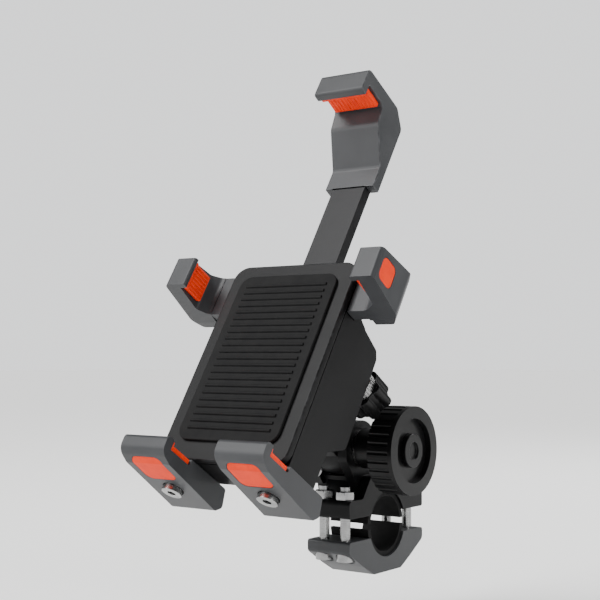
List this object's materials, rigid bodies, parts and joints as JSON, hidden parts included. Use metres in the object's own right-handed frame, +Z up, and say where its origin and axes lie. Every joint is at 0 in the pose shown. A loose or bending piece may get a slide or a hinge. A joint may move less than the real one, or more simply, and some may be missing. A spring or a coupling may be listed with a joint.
{
  "type": "phone handlebar mount",
  "caption": "Phone holder for a round handlebar: split bar clamp, tilting and swivelling arm, and a cradle with side, top and bottom claws.",
  "frame": {"origin": "on the handlebar's axis, inside the bar clamp", "axes": "+X along the handlebar to the rider's right, +Y away from the rider, +Z up"},
  "size_m": [0.098, 0.1316, 0.2033],
  "materials": {
    "black_nylon": "satin",
    "grey_nylon": "satin",
    "orange_silicone": "matt",
    "black_rubber": "matt",
    "stainless": "brushed",
    "black_steel": "powder coat",
    "brass": "turned"
  },
  "bodies": {
    "clamp": {"clamp_upper": "black_nylon", "liner_upper": "black_rubber", "clamp_nuts": "stainless", "tilt_bolt": "stainless", "friction_discs": "black_rubber", "knob_washer": "stainless"},
    "cap": {"clamp_cap": "grey_nylon", "liner_lower": "black_rubber", "clamp_screws": "stainless"},
    "knob": {"tilt_knob": "black_nylon", "knob_insert": "brass", "knob_cap": "black_nylon"},
    "arm": {"tilt_arm": "black_nylon", "swivel_washer": "stainless", "swivel_screw": "stainless"},
    "cradle": {"front_plate": "black_nylon", "seat_pad": "black_rubber", "rear_housing": "black_nylon", "plate_screws": "stainless", "pinion_axle": "stainless", "lock_inserts": "brass", "side_clamp_plate": "stainless", "top_clamp_plate": "stainless"},
    "pinion": {"pinion": "black_nylon"},
    "side_arm_right": {"side_arm_right": "grey_nylon", "side_pad_right": "orange_silicone"},
    "side_arm_left": {"side_arm_left": "grey_nylon", "side_pad_left": "orange_silicone"},
    "top_arm": {"top_claw": "grey_nylon", "top_bar": "black_steel", "top_rivets": "stainless", "top_pad": "orange_silicone"},
    "bottom_claw_right": {"bottom_claw_right": "grey_nylon", "bottom_pad_right": "orange_silicone", "claw_screw_right": "stainless", "claw_nut_right": "stainless"},
    "bottom_claw_left": {"bottom_claw_left": "grey_nylon", "bottom_pad_left": "orange_silicone", "claw_screw_left": "stainless", "claw_nut_left": "stainless"},
    "lock_right": {"lock_knob_right": "black_nylon", "lock_collar_right": "stainless", "lock_stud_right": "stainless"},
    "lock_left": {"lock_knob_left": "black_nylon", "lock_collar_left": "stainless", "lock_stud_left": "stainless"}
  },
  "joints": [
    {"name": "cap_off", "type": "slide", "parent": "clamp", "child": "cap", "axis": [0, 0, -1], "range_m": [0, 0.02]},
    {"name": "knob_spin", "type": "hinge", "parent": "clamp", "child": "knob", "pos_m": [0, -0.012, 0.031], "axis": [1, 0, 0], "continuous": true},
    {"name": "tilt", "type": "hinge", "parent": "clamp", "child": "arm", "pos_m": [0, -0.012, 0.031], "axis": [1, 0, 0], "range_deg": [-45, 33]},
    {"name": "swivel", "type": "hinge", "parent": "arm", "child": "cradle", "pos_m": [0, -0.012, 0.031], "axis": [0, -0.8387, 0.5446], "continuous": true},
    {"name": "side_right", "type": "slide", "parent": "cradle", "child": "side_arm_right", "axis": [1, 0, 0], "range_m": [-0.006, 0.005]},
    {"name": "side_left", "type": "slide", "parent": "cradle", "child": "side_arm_left", "axis": [-1, 0, 0], "range_m": [-0.006, 0.005]},
    {"name": "pinion_spin", "type": "hinge", "parent": "cradle", "child": "pinion", "pos_m": [0, -0.04275, 0.09024], "axis": [0, -0.8387, 0.5446], "range_deg": [-71.7, 86]},
    {"name": "top_slide", "type": "slide", "parent": "cradle", "child": "top_arm", "axis": [0, 0.5446, 0.8387], "range_m": [-0.02, 0.012]},
    {"name": "bottom_right", "type": "slide", "parent": "cradle", "child": "bottom_claw_right", "axis": [1, 0, 0], "range_m": [-0.003, 0.003]},
    {"name": "bottom_left", "type": "slide", "parent": "cradle", "child": "bottom_claw_left", "axis": [-1, 0, 0], "range_m": [-0.003, 0.003]},
    {"name": "lock_right_spin", "type": "hinge", "parent": "cradle", "child": "lock_right", "pos_m": [0.022, -0.02559, 0.05239], "axis": [0, -0.8387, 0.5446], "continuous": true},
    {"name": "lock_left_spin", "type": "hinge", "parent": "cradle", "child": "lock_left", "pos_m": [-0.022, -0.02559, 0.05239], "axis": [0, -0.8387, 0.5446], "continuous": true}
  ],
  "couplings": [
    {"joint": "side_left", "follows": "side_right", "ratio": 1},
    {"joint": "pinion_spin", "follows": "side_right", "rad_per_m": -250}
  ]
}
